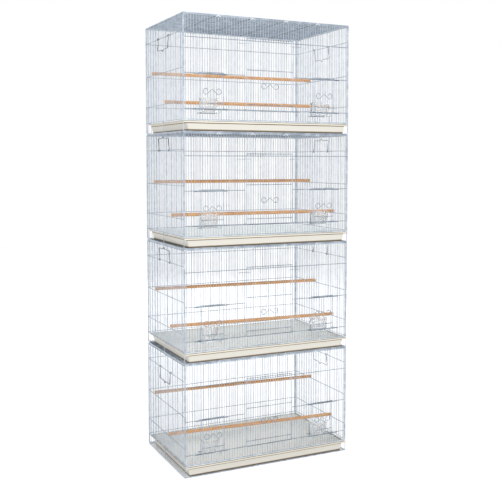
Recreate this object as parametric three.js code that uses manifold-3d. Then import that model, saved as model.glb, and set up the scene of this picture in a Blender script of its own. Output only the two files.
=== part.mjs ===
// A stack of four wire cages for breeding small birds. Every cage is the same set of pieces:
// six flat panels of welded wire, a floor grille over a pull-out tray, a large sliding door
// between two small feeder doors, two wooden perches and a carrying bail on each end.
//
// Millimetres. +Z is up, the fronts face -Y, and the origin is under the middle of the stack.

import * as THREE from 'three';
import { mergeVertices } from 'three/addons/utils/BufferGeometryUtils.js';
import Module from 'manifold-3d';

// ---------------------------------------------------------------- driving dimensions

const TIER_COUNT = 4;
const CAGE_WIDTH = 750;
const CAGE_DEPTH = 460;
const TIER_HEIGHT = 460; // from one cage's underside to the next one's
const CLEARANCE = 0.3; // between two pieces that rest on or run past each other

// Welded panels. The bars stand for the close-set wires, at a coarser spacing.
const RIM = 3.5; // thickness of a panel, and width of the wire round its edge
const BAR = 3; // width of the bars inside the edge
const BAR_SPACING = 186; // widest step that is left without another bar
const LOWER_RAIL = 118; // heights of the cross wires on the back and the ends
const MIDDLE_RAIL = 248;
const UPPER_RAIL_DROP = 70; // the highest one, measured down from the roof
const STIFFENER_SPACING = 150; // front-to-back wires of the roof and the base
const STIFFENER_COUNT = 4;
const END_BAR = 69; // bars of an end panel, either side of its bail
const FOOT_AT = 10; // the middle foot of an end panel, behind its centre line
const FOOT_WIDTH = 4;

// Front panel and its three doors, which slide up its outside.
const SILL_LEVEL = 90; // cross wire under the doors
const FEEDER_HEAD = 228; // cross wire over the feeder doors
const FRONT_HEAD_DROP = 94; // cross wire over the main door, measured down from the roof
const MAIN_OPENING = 219; // between the middles of the posts beside a door
const FEEDER_OPENING = 104;
const FEEDER_INSET = 69; // from the end of the cage to the feeder's outer post
const DOOR_THICKNESS = 3;
const DOOR_SIDE_GAP = 2; // between a door's edge and the post beside it
const DOOR_OVERLAP = 1.5; // how far a door reaches past the sill wire's middle
const MAIN_DOOR_RISE = 10; // top of the main door above the wire over it
const FEEDER_DOOR_RISE = 5;
const LOW_DOOR_RAIL = 112; // cross wires of the doors
const DOOR_RAIL_LEVEL = 250;
const HOOK_WIRE = 2.4; // wire of the hooks and keepers that guide a door
const HOOK_HEIGHT = 3;
const HOOK_REACH = 5; // how far a hook's tip passes the middle of its post
const KEEPER_DROP = 14; // keepers below the wire over the main door
const KEEPER_OVERLAP = 16; // how far a keeper covers the door
const KEEPER_TAIL = 34; // how far it runs on past the post

// Scroll handle: a wire peak between two open curls.
const SCROLL_WIRE = 1.3; // radius of the wire
const SCROLL_CURL = 11; // radius of a curl
const SCROLL_HALF = 27; // from the peak to the middle of a curl
const SCROLL_PEAK = 9; // the peak above the middle of a curl
const SCROLL_FROM = -131; // where a curl leaves the straight run from the peak, and where it
const SCROLL_TO = 150; // ends, as angles about its middle
const SCROLL_STEP = 40; // degrees to a step round a curl
const SCROLL_WELD = 0.3; // depth of the weld between the handle and its door
const MAIN_SCROLL = 187; // heights of the handles' curls
const FEEDER_SCROLL = 158;

// Tray and floor grille.
const TRAY_HEIGHT = 39.2;
const TRAY_WALL = 2;
const TRAY_DRAFT = 8; // how much narrower each end is at the bottom
const TRAY_FRONT_DRAFT = 3;
const TRAY_FRONT_SETBACK = 2.3; // of the front wall's top behind the front lip
const TRAY_FLANGE = 11; // width of the flat lip that overhangs the sides and the back
const TRAY_FLANGE_THICKNESS = 3;
const TRAY_APRON = 8; // height of the front lip's turned-down edge
const TRAY_APRON_THICKNESS = 3.3;
const TRAY_BACK_GAP = 11.5; // between the tray and the back panel
const GRILLE_THICKNESS = 3.2;

// Perches, and the end-panel wires that they clip over: distance behind the centre line
// at the left end and at the right end, in each cage from the bottom one up.
const PERCH_RADIUS = 7;
const PERCH_SIDES = 10;
const PERCH_END_INSET = 1; // from the outside of an end panel to the perch's end
const PERCH_SLOT = 4.6; // width of the saw cut that straddles a wire
const PERCH_SLOT_DEPTH = 3.8;
const UPPER_PERCH = [[138, 80.5], [115, 46], [126.5, 103.5], [138, 103.5]];
const LOWER_PERCH = [[-46, -103.5], [-69, -115], [-92, -115], [-23, -69]];

// Carrying bail, hinged on an end panel's highest cross wire.
const BAIL_WIRE = 1.3; // radius of the wire
const BAIL_HALF = 63.25; // half the distance between its legs
const BAIL_REACH = 49; // from the hinge to its crossbar
const BAIL_WAIST = 2; // how far each leg curves in half-way along
const BAIL_CORNER = 3;
const BAIL_NOTCH = 9; // half the width, and the depth, of the notch in its crossbar
const BAIL_EYE = 4.2; // radius of the eye round the cross wire
const BAIL_EYE_FROM = 225; // where the eye's open end is, and where it meets the neck, as
const BAIL_EYE_TO = -60; // angles about the cross wire
const BAIL_EYE_STEP = 45; // degrees to a step round it
const BAIL_NECK = 7.5; // from the hinge to the start of a straight leg
const BAIL_LEAN = THREE.MathUtils.degToRad(4); // outward lean that clears the panel
const BAIL_RAISED = [false, true, true, false]; // from the bottom cage up

// ---------------------------------------------------------------- levels inside one cage

const halfWidth = CAGE_WIDTH / 2;
const halfDepth = CAGE_DEPTH / 2;
const roofTop = TIER_HEIGHT - CLEARANCE;
const wallTop = roofTop - RIM - CLEARANCE;
const legFoot = RIM + CLEARANCE;
const trayBottom = RIM + CLEARANCE;
const trayTop = trayBottom + TRAY_HEIGHT;
const grilleBottom = trayTop + CLEARANCE;
const wallFoot = grilleBottom + GRILLE_THICKNESS + CLEARANCE;
const upperRail = TIER_HEIGHT - UPPER_RAIL_DROP;
const frontHead = TIER_HEIGHT - FRONT_HEAD_DROP;
const innerHalfWidth = halfWidth - RIM - CLEARANCE;

// ---------------------------------------------------------------- finishes

const wireFinish = () =>
  new THREE.MeshStandardMaterial({ color: 0xc2ccd4, roughness: 0.35, metalness: 0.6 });
const trayFinish = () =>
  new THREE.MeshStandardMaterial({ color: 0xe9e2d3, roughness: 0.4, metalness: 0 });
const perchFinish = () =>
  new THREE.MeshStandardMaterial({ color: 0xd9975c, roughness: 0.7, metalness: 0 });

// ---------------------------------------------------------------- solids

const SAME_POINT = 1e-5; // vertices nearer than this are one

const wasm = await Module();
wasm.setup();

function toSolid(geometry) {
  const bare = geometry.clone();
  bare.deleteAttribute('normal');
  bare.deleteAttribute('uv');
  const merged = mergeVertices(bare, SAME_POINT);
  const mesh = new wasm.Mesh({
    numProp: 3,
    vertProperties: new Float32Array(merged.attributes.position.array),
    triVerts: new Uint32Array(merged.index.array),
  });
  mesh.merge();
  return new wasm.Manifold(mesh);
}

function toGeometry(solid) {
  const mesh = solid.getMesh();
  const geometry = new THREE.BufferGeometry();
  geometry.setAttribute('position', new THREE.BufferAttribute(mesh.vertProperties, 3));
  geometry.setIndex(new THREE.BufferAttribute(mesh.triVerts, 1));
  geometry.computeVertexNormals();
  return geometry;
}

// The first geometry with the others welded on.
function welded(...geometries) {
  return toGeometry(geometries.map(toSolid).reduce((whole, part) => whole.add(part)));
}

function piece(name, geometry, material) {
  const mesh = new THREE.Mesh(geometry, material);
  mesh.name = name;
  return mesh;
}

function extruded(outline, thickness) {
  const shape = new THREE.Shape(outline.map(([u, v]) => new THREE.Vector2(u, v)));
  return new THREE.ExtrudeGeometry(shape, { depth: thickness, bevelEnabled: false });
}

// A plate with rectangular cells cut through it.
function lattice(outline, thickness, cells) {
  const plate = toSolid(extruded(outline, thickness));
  const cuts = cells.map(([left, low, right, high]) => {
    const cut = new THREE.BoxGeometry(right - left, high - low, 3 * thickness);
    return toSolid(cut.translate((left + right) / 2, (low + high) / 2, thickness / 2));
  });
  return toGeometry(cuts.reduce((rest, cut) => rest.subtract(cut), plate));
}

function rectangle(left, low, right, high) {
  return [[left, low], [right, low], [right, high], [left, high]];
}

// ---------------------------------------------------------------- welded wire panels

// A bar or rail, as the pair of its two edges.
function strip(middle, width = BAR) {
  return [middle - width / 2, middle + width / 2];
}

// The bars from first to last, with more between them wherever the gap is too wide.
function filled(first, last) {
  const from = (first[0] + first[1]) / 2;
  const to = (last[0] + last[1]) / 2;
  const gaps = Math.ceil((to - from) / BAR_SPACING);
  const between = Array.from({ length: gaps - 1 }, (_, i) => from + ((to - from) * (i + 1)) / gaps);
  return [first, ...between.map((middle) => strip(middle)), last];
}

function filledThrough(bars) {
  return bars.slice(1).reduce((row, bar, i) => [...row, ...filled(bars[i], bar).slice(1)], [bars[0]]);
}

// The open cells between neighbouring bars, from the rail below them to the rail above.
function cellsBetween(bars, below, above) {
  return bars.slice(1).map((bar, i) => [bars[i][1], below[1], bar[0], above[0]]);
}

function gridCells(bars, rails) {
  return rails.slice(1).flatMap((above, i) => cellsBetween(bars, rails[i], above));
}

// An outline in (across, up) stands on its lower edge, its thickness facing -Y.
function standFacingFront(mesh, rearY) {
  mesh.rotation.x = Math.PI / 2;
  mesh.position.y = rearY;
  return mesh;
}

// An outline in (back, up) stands on its lower edge, its thickness facing +X.
function standFacingEnd(mesh, innerX) {
  mesh.rotation.set(Math.PI / 2, 0, Math.PI / 2, 'ZYX');
  mesh.position.x = innerX;
  return mesh;
}

// ---------------------------------------------------------------- bent wire

// The centre line of a bent wire, with one step of the sweep to each of its points.
class WirePath extends THREE.Curve {
  constructor(points) {
    super();
    this.points = points;
  }

  getSpacedPoints() {
    return this.points;
  }

  getTangentAt(share) {
    const last = this.points.length - 1;
    const here = Math.round(share * last);
    const before = this.points[Math.max(here - 1, 0)];
    const after = this.points[Math.min(here + 1, last)];
    return after.clone().sub(before).normalize();
  }
}

// A square section, whose corners lie on the round wire's surface.
function bentWire(points, radius) {
  const flat = radius * Math.SQRT1_2;
  const corners = rectangle(-flat, -flat, flat, flat).map(([u, v]) => new THREE.Vector2(u, v));
  const path = new WirePath(points);
  const options = { steps: points.length - 1, extrudePath: path, bevelEnabled: false };
  return new THREE.ExtrudeGeometry(new THREE.Shape(corners), options);
}

// Points on an arc, with angles in degrees.
function arc(radius, from, to, step) {
  const count = Math.round(Math.abs(to - from) / step);
  return Array.from({ length: count + 1 }, (_, i) => {
    const turn = THREE.MathUtils.degToRad(from + ((to - from) * i) / count);
    return [radius * Math.cos(turn), radius * Math.sin(turn)];
  });
}

// ---------------------------------------------------------------- roof, base and grille

function stiffeners() {
  const first = (-(STIFFENER_COUNT - 1) / 2) * STIFFENER_SPACING;
  return Array.from({ length: STIFFENER_COUNT }, (_, i) => strip(first + i * STIFFENER_SPACING));
}

function flatPanel() {
  const bars = [
    [-halfWidth, -halfWidth + RIM],
    ...stiffeners(),
    [halfWidth - RIM, halfWidth],
  ];
  const rails = [[-halfDepth, -halfDepth + RIM], strip(0), [halfDepth - RIM, halfDepth]];
  const outline = rectangle(-halfWidth, -halfDepth, halfWidth, halfDepth);
  return lattice(outline, RIM, gridCells(bars, rails));
}

function floorGrille() {
  const front = -halfDepth + CLEARANCE;
  const back = halfDepth - RIM - TRAY_BACK_GAP;
  const bars = filled(
    [-innerHalfWidth, -innerHalfWidth + BAR],
    [innerHalfWidth - BAR, innerHalfWidth],
  );
  const rails = [[front, front + BAR], strip((front + back) / 2), [back - BAR, back]];
  const outline = rectangle(-innerHalfWidth, front, innerHalfWidth, back);
  return lattice(outline, GRILLE_THICKNESS, gridCells(bars, rails));
}

// ---------------------------------------------------------------- back and end panels

function backPanel() {
  const bars = filled(
    [-innerHalfWidth, -innerHalfWidth + RIM],
    [innerHalfWidth - RIM, innerHalfWidth],
  );
  const rails = [
    [legFoot, legFoot + RIM],
    strip(LOWER_RAIL),
    strip(MIDDLE_RAIL),
    [wallTop - RIM, wallTop],
  ];
  const outline = rectangle(-innerHalfWidth, legFoot, innerHalfWidth, wallTop);
  return lattice(outline, RIM, gridCells(bars, rails));
}

// The wire that a perch clips over, in place of any bar that the perch would meet.
function withPerchWire(bars, wire) {
  const reach = PERCH_RADIUS + CLEARANCE;
  const kept = bars.filter(([left, right]) => right < wire - reach || left > wire + reach);
  return [...kept, strip(wire)].sort((a, b) => a[0] - b[0]);
}

// Stands on three feet, so the tray's ends stay in view. A perch rests on each inner rail.
function endPanel(upperWire, lowerWire) {
  const posts = [[-halfDepth, -halfDepth + RIM], [halfDepth - RIM, halfDepth]];
  const bars = filledThrough([posts[0], strip(-END_BAR), strip(END_BAR), posts[1]]);
  const foot = [wallFoot, wallFoot + RIM];
  const lower = strip(LOWER_RAIL);
  const middle = strip(MIDDLE_RAIL);
  const upper = strip(upperRail);
  const cells = [
    ...cellsBetween(bars, foot, lower),
    ...cellsBetween(withPerchWire(bars, lowerWire), lower, middle),
    ...cellsBetween(withPerchWire(bars, upperWire), middle, upper),
    ...cellsBetween(bars, upper, [wallTop - RIM, wallTop]),
  ];
  const leg = strip(FOOT_AT, FOOT_WIDTH);
  const outline = [
    [posts[0][0], legFoot],
    [posts[0][1], legFoot],
    [posts[0][1], wallFoot],
    [leg[0], wallFoot],
    [leg[0], legFoot],
    [leg[1], legFoot],
    [leg[1], wallFoot],
    [posts[1][0], wallFoot],
    [posts[1][0], legFoot],
    [posts[1][1], legFoot],
    [posts[1][1], wallTop],
    [posts[0][0], wallTop],
  ];
  return lattice(outline, RIM, cells);
}

// ---------------------------------------------------------------- front panel and doors

const feederOuter = halfWidth - FEEDER_INSET;
const feederInner = feederOuter - FEEDER_OPENING;
const feederMiddle = (feederOuter + feederInner) / 2;
const mainPost = MAIN_OPENING / 2;
const doorHalf = (opening) => opening / 2 - BAR / 2 - DOOR_SIDE_GAP;
const doorFoot = SILL_LEVEL - DOOR_OVERLAP;

// A pair of guides drawn in plan, as (across, forward) from the rear face of their panel.
function guides(plan, level) {
  return [-1, 1].map((side) => {
    const turned = plan.map(([across, forward]) => [side * across, -forward]);
    return extruded(turned, HOOK_HEIGHT).rotateX(-Math.PI / 2).translate(0, level, 0);
  });
}

// A T on each post beside the main door, so that the door's edge runs behind its head.
function keepers() {
  const inner = RIM + CLEARANCE + DOOR_THICKNESS + CLEARANCE;
  const outer = inner + HOOK_WIRE;
  const stem = strip(mainPost);
  const tip = doorHalf(MAIN_OPENING) - KEEPER_OVERLAP;
  const tail = mainPost + KEEPER_TAIL;
  const plan = [
    [stem[0], RIM / 2],
    [stem[1], RIM / 2],
    [stem[1], inner],
    [tail, inner],
    [tail, outer],
    [tip, outer],
    [tip, inner],
    [stem[0], inner],
  ];
  return guides(plan, frontHead - KEEPER_DROP);
}

function frontPanel() {
  const rims = [[-innerHalfWidth, -innerHalfWidth + RIM], [innerHalfWidth - RIM, innerHalfWidth]];
  const left = [rims[0], strip(-feederOuter), strip(-feederInner), strip(-mainPost)];
  const right = [strip(mainPost), strip(feederInner), strip(feederOuter), rims[1]];
  const across = filledThrough([...left, ...right]);
  const sill = strip(SILL_LEVEL);
  const feederHead = strip(FEEDER_HEAD);
  const head = strip(frontHead);
  const cells = [
    ...cellsBetween(across, [wallFoot, wallFoot + RIM], sill),
    ...gridCells(left, [sill, feederHead, head]),
    ...gridCells(right, [sill, feederHead, head]),
    ...cellsBetween([left.at(-1), right[0]], sill, head),
    ...cellsBetween(across, head, [wallTop - RIM, wallTop]),
  ];
  const outline = rectangle(-innerHalfWidth, wallFoot, innerHalfWidth, wallTop);
  return welded(lattice(outline, RIM, cells), ...keepers());
}

// A hook on each edge of a door, which passes through its opening and behind the post.
function hooks(opening, level) {
  const outer = doorHalf(opening);
  const inner = outer - HOOK_WIRE;
  const near = -CLEARANCE - RIM - CLEARANCE;
  const far = near - HOOK_WIRE;
  const tip = opening / 2 + HOOK_REACH;
  const middle = DOOR_THICKNESS / 2;
  const plan = [[inner, middle], [outer, middle], [outer, near], [tip, near], [tip, far], [inner, far]];
  return guides(plan, level);
}

function scrollHandle(level) {
  const ahead = DOOR_THICKNESS + SCROLL_WIRE * Math.SQRT1_2 - SCROLL_WELD;
  const turn = arc(SCROLL_CURL, SCROLL_FROM, SCROLL_TO, SCROLL_STEP);
  const curl = turn.map(([u, v]) => [SCROLL_HALF + u, v]);
  const mirrored = curl.map(([u, v]) => [-u, v]).reverse();
  const points = [...mirrored, [0, SCROLL_PEAK], ...curl];
  return bentWire(points.map(([u, v]) => new THREE.Vector3(u, level + v, ahead)), SCROLL_WIRE);
}

// Its lowest hooks come to rest on the sill wire and hold the door up.
function slidingDoor(opening, top, crossWires, upperHooks, handleLevel) {
  const half = doorHalf(opening);
  const bars = [[-half, -half + BAR], strip(0), [half - BAR, half]];
  const rails = [
    [doorFoot, doorFoot + BAR],
    ...crossWires.map((level) => strip(level)),
    [top - BAR, top],
  ];
  const outline = rectangle(-half, doorFoot, half, top);
  const grid = lattice(outline, DOOR_THICKNESS, gridCells(bars, rails));
  const onSill = SILL_LEVEL + BAR / 2 + CLEARANCE;
  const guided = [onSill, ...upperHooks].flatMap((level) => hooks(opening, level));
  return welded(grid, ...guided, scrollHandle(handleLevel));
}

function mainDoor() {
  const crossWires = [LOW_DOOR_RAIL, DOOR_RAIL_LEVEL];
  return slidingDoor(MAIN_OPENING, frontHead + MAIN_DOOR_RISE, crossWires, [], MAIN_SCROLL);
}

function feederDoor() {
  const overHead = FEEDER_HEAD + BAR / 2 + CLEARANCE;
  return slidingDoor(
    FEEDER_OPENING,
    FEEDER_HEAD + FEEDER_DOOR_RISE,
    [LOW_DOOR_RAIL],
    [overHead],
    FEEDER_SCROLL,
  );
}

// ---------------------------------------------------------------- tray

// A box between two rectangles, each given as its left, right, front and back.
function taperedBox(bottom, top, low, high) {
  const geometry = new THREE.BoxGeometry(1, 1, 1);
  const places = geometry.attributes.position;
  for (let i = 0; i < places.count; i += 1) {
    const raised = places.getZ(i) > 0;
    const [left, right, front, back] = raised ? top : bottom;
    const x = places.getX(i) > 0 ? right : left;
    const y = places.getY(i) > 0 ? back : front;
    places.setXYZ(i, x, y, raised ? high : low);
  }
  return geometry;
}

function tray() {
  const half = innerHalfWidth - CLEARANCE;
  const back = halfDepth - RIM - TRAY_BACK_GAP;
  const wall = half - TRAY_FLANGE;
  const mouth = [-wall, wall, -halfDepth + TRAY_FRONT_SETBACK, back - TRAY_FLANGE];
  const draft = [TRAY_DRAFT, -TRAY_DRAFT, TRAY_FRONT_DRAFT, -TRAY_DRAFT];
  const inward = [TRAY_WALL, -TRAY_WALL, TRAY_WALL, -TRAY_WALL];
  const floor = mouth.map((edge, i) => edge + draft[i]);
  const innerMouth = mouth.map((edge, i) => edge + inward[i]);
  const innerFloor = floor.map((edge, i) => edge + inward[i]);
  const lip = [-half, half, -halfDepth, back];
  const apron = [-half, half, -halfDepth, -halfDepth + TRAY_APRON_THICKNESS];
  const shell = toSolid(taperedBox(floor, mouth, 0, TRAY_HEIGHT))
    .add(toSolid(taperedBox(lip, lip, TRAY_HEIGHT - TRAY_FLANGE_THICKNESS, TRAY_HEIGHT)))
    .add(toSolid(taperedBox(apron, apron, TRAY_HEIGHT - TRAY_APRON, TRAY_HEIGHT)));
  const hollow = toSolid(taperedBox(innerFloor, innerMouth, TRAY_WALL, TRAY_HEIGHT + TRAY_WALL));
  return toGeometry(shell.subtract(hollow));
}

// ---------------------------------------------------------------- perch and bail

// A dowel from end to end, with a saw cut at each end that clips over an upright wire.
function perch(leftY, rightY) {
  const end = halfWidth - PERCH_END_INSET;
  const length = Math.hypot(2 * end, rightY - leftY);
  const dowel = new THREE.CylinderGeometry(PERCH_RADIUS, PERCH_RADIUS, length, PERCH_SIDES);
  dowel.rotateZ(Math.PI / 2 + Math.atan2(rightY - leftY, 2 * end));
  dowel.translate(0, (leftY + rightY) / 2, 0);
  const cut = new THREE.BoxGeometry(2 * PERCH_SLOT_DEPTH, PERCH_SLOT, 4 * PERCH_RADIUS);
  const leftCut = toSolid(cut.clone().translate(-end, leftY, 0));
  const rightCut = toSolid(cut.clone().translate(end, rightY, 0));
  return toGeometry(toSolid(dowel).subtract(leftCut).subtract(rightCut));
}

// Hangs below its hinge, the cross wire that its two eyes go round.
function bail() {
  const eye = arc(BAIL_EYE, BAIL_EYE_FROM, BAIL_EYE_TO, BAIL_EYE_STEP);
  const leg = [
    [BAIL_HALF, BAIL_NECK],
    [BAIL_HALF - BAIL_WAIST, BAIL_REACH / 2],
    [BAIL_HALF, BAIL_REACH - BAIL_CORNER],
    [BAIL_HALF - BAIL_CORNER, BAIL_REACH],
    [BAIL_NOTCH, BAIL_REACH],
  ];
  const rear = [
    ...eye.map(([x, z]) => new THREE.Vector3(x, BAIL_HALF, z)),
    ...leg.map(([y, drop]) => new THREE.Vector3(0, y, -drop)),
  ];
  const front = rear.map((point) => new THREE.Vector3(point.x, -point.y, point.z)).reverse();
  const notch = new THREE.Vector3(0, 0, -BAIL_REACH - BAIL_NOTCH);
  return bentWire([...rear, notch, ...front], BAIL_WIRE);
}

function hungBail(name, side, raised) {
  const mesh = piece(name, bail(), wireFinish());
  const lean = raised ? BAIL_LEAN - Math.PI : -BAIL_LEAN;
  mesh.rotation.set(0, lean, side < 0 ? Math.PI : 0, 'ZYX');
  mesh.position.set(side * (halfWidth - RIM / 2), 0, upperRail);
  return mesh;
}

// ---------------------------------------------------------------- one cage

function raisedTo(mesh, level) {
  mesh.position.z = level;
  return mesh;
}

function cage(index) {
  const tier = new THREE.Group();
  const named = (name) => `tier_${index + 1}_${name}`;
  const [upperLeft, upperRight] = UPPER_PERCH[index];
  const [lowerLeft, lowerRight] = LOWER_PERCH[index];
  const raised = BAIL_RAISED[index];
  const frontInside = -halfDepth + RIM;
  const doorRear = -halfDepth - CLEARANCE;
  const perchOn = (rail) => rail + BAR / 2 + CLEARANCE + PERCH_RADIUS;

  tier.add(piece(named('base_frame'), flatPanel(), wireFinish()));
  tier.add(raisedTo(piece(named('top_panel'), flatPanel(), wireFinish()), roofTop - RIM));
  tier.add(raisedTo(piece(named('tray'), tray(), trayFinish()), trayBottom));
  tier.add(raisedTo(piece(named('floor_grille'), floorGrille(), wireFinish()), grilleBottom));

  tier.add(standFacingFront(piece(named('back_panel'), backPanel(), wireFinish()), halfDepth));
  tier.add(standFacingFront(piece(named('front_panel'), frontPanel(), wireFinish()), frontInside));
  const leftPanel = piece(named('left_panel'), endPanel(upperLeft, lowerLeft), wireFinish());
  tier.add(standFacingEnd(leftPanel, -halfWidth));
  const rightPanel = piece(named('right_panel'), endPanel(upperRight, lowerRight), wireFinish());
  tier.add(standFacingEnd(rightPanel, halfWidth - RIM));

  tier.add(standFacingFront(piece(named('main_door'), mainDoor(), wireFinish()), doorRear));
  for (const [name, side] of [['left_feeder_door', -1], ['right_feeder_door', 1]]) {
    const door = standFacingFront(piece(named(name), feederDoor(), wireFinish()), doorRear);
    door.position.x = side * feederMiddle;
    tier.add(door);
  }

  const upper = piece(named('upper_perch'), perch(upperLeft, upperRight), perchFinish());
  tier.add(raisedTo(upper, perchOn(MIDDLE_RAIL)));
  const lower = piece(named('lower_perch'), perch(lowerLeft, lowerRight), perchFinish());
  tier.add(raisedTo(lower, perchOn(LOWER_RAIL)));

  tier.add(hungBail(named('left_handle'), -1, raised));
  tier.add(hungBail(named('right_handle'), 1, raised));
  return tier;
}

const stack = new THREE.Group();
for (let index = 0; index < TIER_COUNT; index += 1) {
  stack.add(raisedTo(cage(index), index * TIER_HEIGHT));
}

export default stack;
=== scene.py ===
# %% [markdown]
# # A stack of four wire breeding cages
#
# A breeding cage is nearly all wire: flat welded panels that are ringed together at their edges,
# sliding doors, and a few bent-wire handles. In it are three things that aren't wire: a formed
# tray in the bottom, wooden perches, and clear cups. We build one cage with functions and run
# them for all four tiers. Every piece that the frame has too, as a simpler solid, stands in that
# solid's place and hides it.

import math
from collections import namedtuple

import bmesh
import bpy
from mathutils import Matrix, Vector


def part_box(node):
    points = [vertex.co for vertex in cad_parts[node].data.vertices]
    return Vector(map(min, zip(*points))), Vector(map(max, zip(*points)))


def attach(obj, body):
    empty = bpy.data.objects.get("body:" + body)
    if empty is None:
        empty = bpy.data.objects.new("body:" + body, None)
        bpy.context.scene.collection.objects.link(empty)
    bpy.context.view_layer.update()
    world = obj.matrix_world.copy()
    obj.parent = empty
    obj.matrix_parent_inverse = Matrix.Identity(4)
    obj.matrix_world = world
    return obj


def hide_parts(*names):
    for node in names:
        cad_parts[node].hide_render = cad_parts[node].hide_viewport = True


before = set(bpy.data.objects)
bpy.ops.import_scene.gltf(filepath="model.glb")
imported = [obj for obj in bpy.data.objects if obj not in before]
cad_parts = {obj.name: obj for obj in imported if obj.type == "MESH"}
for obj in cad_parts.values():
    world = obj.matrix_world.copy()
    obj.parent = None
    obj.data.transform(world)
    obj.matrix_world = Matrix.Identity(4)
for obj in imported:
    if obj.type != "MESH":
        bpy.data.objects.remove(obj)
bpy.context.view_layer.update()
TIERS = sum(name.endswith("_tray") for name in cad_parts)

# %% [markdown]
# ## Working in millimetres
#
# Wire is sold and bent in millimetres, and Blender counts in metres. We keep every size in
# millimetres, and turn a finished piece into metres in one place. `box_of` reads where one of
# the frame's solids lies, so that a panel made here gets its size from the frame.

# %% Millimetres
MM = 0.001


def box_of(tier, part):
    low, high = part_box(f"tier_{tier}_{part}")
    return low / MM, high / MM


cage_low, cage_high = box_of(1, "base_frame")
CAGE_WIDTH = cage_high.x - cage_low.x
CAGE_DEPTH = cage_high.y - cage_low.y
TIER_HEIGHT = box_of(2, "base_frame")[0].z - cage_low.z
print("one cage is", round(CAGE_WIDTH), "x", round(CAGE_DEPTH), "x", round(TIER_HEIGHT), "mm")

# %% [markdown]
# ## The camera first
#
# We set the camera before anything else, so that each test picture can be compared. A camera in
# Blender looks along its own -Z. We know where the photographer stood, which way the lens
# pointed, and how far up and to the side the middle of the picture lies, which is what a
# shifted lens does.

# %% Camera
CAMERA_PLACE = Vector((-1501.7, -3242.1, 1263.3))
CAMERA_YAW = math.radians(26.144)
CAMERA_PITCH = math.radians(-3.857)
CAMERA_ROLL = math.radians(0.085)
PICTURE = 500
FOCAL_PIXELS = 821.53
CENTRE_PIXEL = (264.43, 217.09)
SENSOR = 36

camera_data = bpy.data.cameras.new("camera")
camera_data.sensor_width = SENSOR
camera_data.lens = FOCAL_PIXELS * SENSOR / PICTURE
camera_data.shift_x = (PICTURE / 2 - CENTRE_PIXEL[0]) / PICTURE
camera_data.shift_y = (CENTRE_PIXEL[1] - PICTURE / 2) / PICTURE
camera = bpy.data.objects.new("camera", camera_data)
bpy.context.scene.collection.objects.link(camera)
ahead = Vector(
    (
        math.sin(CAMERA_YAW) * math.cos(CAMERA_PITCH),
        math.cos(CAMERA_YAW) * math.cos(CAMERA_PITCH),
        math.sin(CAMERA_PITCH),
    )
)
aimed = ahead.to_track_quat("-Z", "Y").to_matrix().to_4x4()
camera.matrix_world = Matrix.Translation(CAMERA_PLACE * MM) @ aimed @ Matrix.Rotation(CAMERA_ROLL, 4, "Z")
bpy.context.scene.camera = camera
print("lens", round(camera_data.lens, 1), "mm, shift", camera_data.shift_x, camera_data.shift_y)

# %% [markdown]
# ## Colours and nodes
#
# A colour that we read off a paint card is in sRGB, the scale of a screen. Blender's shaders
# add up light, so they want linear values. One function turns the one into the other. Another
# adds a node with its settings and its links in one line, which keeps each material short.

# %% Colour and node helpers
def colour(code):
    """An sRGB hex code such as "E8E2D5" as a linear RGBA colour."""
    channels = [int(code[i : i + 2], 16) / 255 for i in (0, 2, 4)]
    linear = [c / 12.92 if c <= 0.04045 else ((c + 0.055) / 1.055) ** 2.4 for c in channels]
    return (*linear, 1.0)


def add_node(tree, kind, settings=None, **inputs):
    """A new node. An input is a value, or another node's output socket to link from."""
    node = tree.nodes.new(kind)
    for name, value in (settings or {}).items():
        setattr(node, name, value)
    for name, value in inputs.items():
        socket = node.inputs[name.replace("_", " ")]
        if isinstance(value, bpy.types.NodeSocket):
            tree.links.new(value, socket)
        else:
            socket.default_value = value
    return node


def new_material(name):
    material = bpy.data.materials.new(name)
    material.use_nodes = True
    material.node_tree.nodes.clear()
    return material, material.node_tree


def set_ramp(node, *stops):
    """Colours of a colour ramp, as (position, colour) from left to right."""
    ramp = node.color_ramp
    while len(ramp.elements) < len(stops):
        ramp.elements.new(0.5)
    for element, (position, shade) in zip(ramp.elements, stops):
        element.position = position
        element.color = shade


print("cream is", [round(c, 3) for c in colour("E8E2D5")])

# %% [markdown]
# ## Zinc-plated wire
#
# Cage wire is low-carbon steel that is drawn, welded into mats and then bright zinc plated. The
# plating is thin and follows the wire, so it has a soft metallic shine with a blue-grey cast,
# a little cloudy from the bath. A metal's colour is the colour of its reflection, so the base
# colour carries the blue-grey. Two tones are mixed by a noise of about a finger's width, and a
# much finer one roughens the shine. The real grain can't be seen from a step away, so it is
# drawn a few times too coarse. The close wires of roof and base, the cross wires of a panel and
# the scrolls get a darker tone, which is painted shade of their undersides. The floor grille
# gets a lighter tone, which is painted light over the shaded floor of the cage, and rings and
# clips get the same as painted highlights. Handles, the stiffeners of roof and base and the arms
# and bar that hold a cup get the darkest tone; on the stiffeners it is painted shade.

# %% Wire material
def make_wire_material(name, dark, light, metallic=0.75):
    material, tree = new_material(name)
    place = add_node(tree, "ShaderNodeTexCoord").outputs["Object"]
    cloud = add_node(tree, "ShaderNodeTexNoise", Vector=place, Scale=1 / (22 * MM), Detail=3.0)
    tones = add_node(tree, "ShaderNodeValToRGB", Fac=cloud.outputs["Fac"])
    set_ramp(tones, (0.35, colour(dark)), (0.65, colour(light)))
    grain = add_node(tree, "ShaderNodeTexNoise", Vector=place, Scale=1 / (0.9 * MM), Detail=2.0)
    shine = add_node(tree, "ShaderNodeMapRange", Value=grain.outputs["Fac"], To_Min=0.24, To_Max=0.42)
    bump = add_node(tree, "ShaderNodeBump", Height=grain.outputs["Fac"], Strength=0.12, Distance=0.1 * MM)
    surface = add_node(
        tree,
        "ShaderNodeBsdfPrincipled",
        Base_Color=tones.outputs["Color"],
        Metallic=metallic,
        Roughness=shine.outputs["Result"],
        Normal=bump.outputs["Normal"],
    )
    add_node(tree, "ShaderNodeOutputMaterial", Surface=surface.outputs["BSDF"])
    return material


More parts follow.
